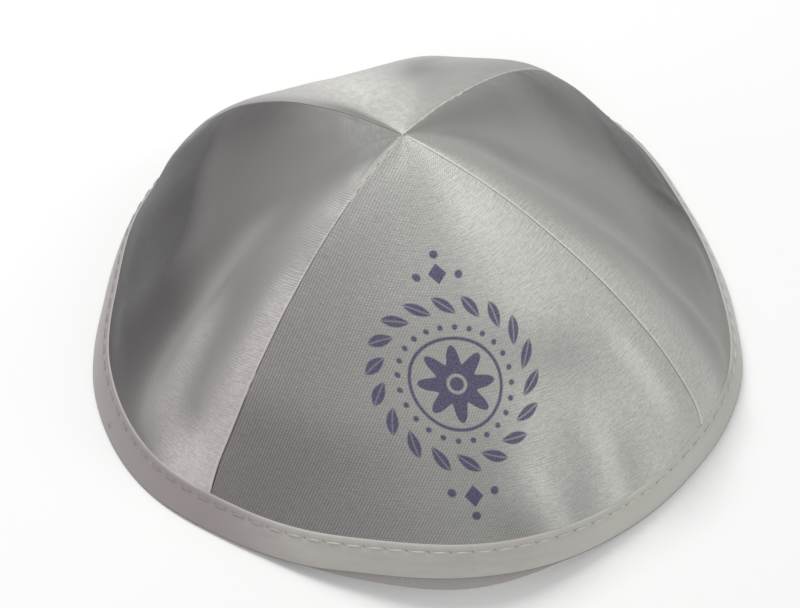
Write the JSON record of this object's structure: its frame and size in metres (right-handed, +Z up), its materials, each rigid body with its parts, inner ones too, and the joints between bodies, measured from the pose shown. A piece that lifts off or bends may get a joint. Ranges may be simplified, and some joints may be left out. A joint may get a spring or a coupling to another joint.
{
  "type": "kippah skullcap",
  "caption": "Panelled satin skullcap with a cloth lining and a stitched ribbon trim round its rim, lying rim down as a shallow dome.",
  "frame": {"origin": "on the surface that the cap lies on, under the middle of its bounding box", "axes": "+Z up through the crown, -Y towards the front panel, +X to the right as seen from the front"},
  "size_m": [0.1638, 0.1646, 0.0586],
  "materials": {
    "satin": "light grey satin with a fine weave and a soft sheen",
    "lining_cloth": "matte light grey woven cotton",
    "trim_ribbon": "smooth warm grey ribbon with a faint sheen"
  },
  "bodies": {
    "root": {"panel_front": "satin", "panel_right": "satin", "panel_back": "satin", "panel_left": "satin", "lining": "lining_cloth", "trim_band": "trim_ribbon"}
  },
  "joints": []
}
